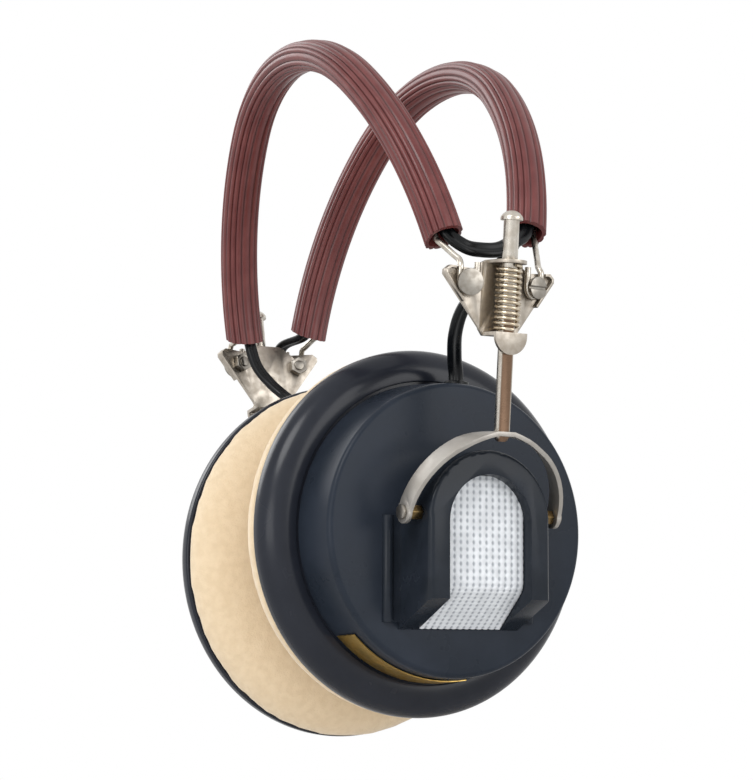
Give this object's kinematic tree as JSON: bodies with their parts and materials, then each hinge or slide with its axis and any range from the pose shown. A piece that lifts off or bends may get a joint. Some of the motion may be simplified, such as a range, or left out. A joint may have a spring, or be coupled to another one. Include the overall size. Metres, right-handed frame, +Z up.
{
  "type": "radio headphones",
  "caption": "Radio headphones with round padded ear cups that tilt in bails on sliding rods, under a headband of sprung wires in ribbed sleeves.",
  "frame": {"origin": "midway between the ears, on the ear axis through the middle of both ear pads", "axes": "X from ear to ear with the left ear at +X, -Y towards the wearer's front, +Z up over the crown"},
  "size_m": [0.1544, 0.1032, 0.1987],
  "materials": {
    "spring_wire": "bright drawn spring wire",
    "sleeve_vinyl": "ribbed burgundy vinyl",
    "lead_rubber": "glossy black twin lead",
    "nickel": "satin nickel plate",
    "screw_steel": "plated screws",
    "brassy": "polished brassy plate",
    "shell_gloss": "glossy black moulding",
    "can_satin": "satin black moulding",
    "grille_weave": "silver and white woven grille cloth",
    "hardboard": "pressed board",
    "ring_plastic": "plain moulding",
    "screen_cloth": "thin dark cloth",
    "pad_suede": "cream suede-like cover over foam",
    "frame_steel": "pressed steel",
    "magnet_iron": "iron magnet",
    "coil_copper": "copper winding",
    "cone_paper": "pressed paper",
    "felt": "grey felt",
    "label_brass": "bare satin gold strip"
  },
  "bodies": {
    "headband": {"front_wire": "spring_wire", "rear_wire": "spring_wire", "front_sleeve": "sleeve_vinyl", "rear_sleeve": "sleeve_vinyl", "front_band_lead": "lead_rubber", "rear_band_lead": "lead_rubber", "right_bracket": "nickel", "right_clamp_screws": "screw_steel", "right_clamp_nuts": "screw_steel", "right_friction_spring": "brassy"},
    "left_arm": {"left_bracket": "nickel", "left_clamp_screws": "screw_steel", "left_clamp_nuts": "screw_steel", "left_friction_spring": "brassy", "crossover_lead": "lead_rubber"},
    "left_hanger": {"left_hanger_rod": "nickel"},
    "left_yoke": {"left_bail": "nickel", "left_cup_lead": "lead_rubber"},
    "left_cup": {"left_cup_shell": "shell_gloss", "left_can": "can_satin", "left_vent_housing": "can_satin", "left_grille_cloth": "grille_weave", "left_lead_grommet": "lead_rubber", "left_pivot_screws": "screw_steel", "left_pivot_nuts": "brassy", "left_dust_screen": "screen_cloth", "left_ear_pad": "pad_suede", "left_baffle": "hardboard", "left_pad_ring": "ring_plastic", "left_ring_screws": "screw_steel", "left_driver_frame": "frame_steel", "left_magnet": "magnet_iron", "left_voice_coil": "coil_copper", "left_cone": "cone_paper", "left_terminal_strip": "hardboard", "left_damping_felt": "felt", "left_label_strip": "label_brass"},
    "right_hanger": {"right_hanger_rod": "nickel"},
    "right_yoke": {"right_bail": "nickel", "right_cup_lead": "lead_rubber", "right_rear_lead": "lead_rubber"},
    "right_cup": {"right_cup_shell": "shell_gloss", "right_can": "can_satin", "right_vent_housing": "can_satin", "right_grille_cloth": "grille_weave", "right_lead_grommet": "lead_rubber", "right_pivot_screws": "screw_steel", "right_pivot_nuts": "brassy", "right_dust_screen": "screen_cloth", "right_ear_pad": "pad_suede", "right_baffle": "hardboard", "right_pad_ring": "ring_plastic", "right_ring_screws": "screw_steel", "right_driver_frame": "frame_steel", "right_magnet": "magnet_iron", "right_voice_coil": "coil_copper", "right_cone": "cone_paper", "right_terminal_strip": "hardboard", "right_damping_felt": "felt"}
  },
  "joints": [
    {"name": "band_spread", "type": "hinge", "parent": "headband", "child": "left_arm", "pos_m": [0, 0, 0.1406], "axis": [0, -1, 0], "range_deg": [0, 45], "stiffness_Nm_per_rad": 0.45, "springref_deg": -17.19, "deforming": ["front_wire", "rear_wire", "front_sleeve", "rear_sleeve", "front_band_lead", "rear_band_lead", "crossover_lead", "left_cup_lead"]},
    {"name": "left_slide", "type": "slide", "parent": "left_arm", "child": "left_hanger", "axis": [0.1478, 0, 0.989], "range_m": [-0.01, 0.018], "deforming": ["left_cup_lead"]},
    {"name": "left_swivel", "type": "hinge", "parent": "left_hanger", "child": "left_yoke", "pos_m": [0.07186, 0, 0.06422], "axis": [0.1478, 0, 0.989], "range_deg": [-8, 8], "deforming": ["left_cup_lead"]},
    {"name": "left_tilt", "type": "hinge", "parent": "left_yoke", "child": "left_cup", "pos_m": [0.054, 0, 0.0035], "axis": [0, 1, 0], "range_deg": [-11.3, 4.7], "deforming": ["left_cup_lead"]},
    {"name": "right_slide", "type": "slide", "parent": "headband", "child": "right_hanger", "axis": [-0.1478, 0, 0.989], "range_m": [-0.01, 0.018], "deforming": ["right_cup_lead", "right_rear_lead"]},
    {"name": "right_swivel", "type": "hinge", "parent": "right_hanger", "child": "right_yoke", "pos_m": [-0.07186, 0, 0.06422], "axis": [-0.1478, 0, 0.989], "range_deg": [-8, 8], "deforming": ["right_cup_lead", "right_rear_lead"]},
    {"name": "right_tilt", "type": "hinge", "parent": "right_yoke", "child": "right_cup", "pos_m": [-0.054, 0, 0.0035], "axis": [0, 1, 0], "range_deg": [-11.3, 4.7], "deforming": ["right_cup_lead", "right_rear_lead"]}
  ]
}
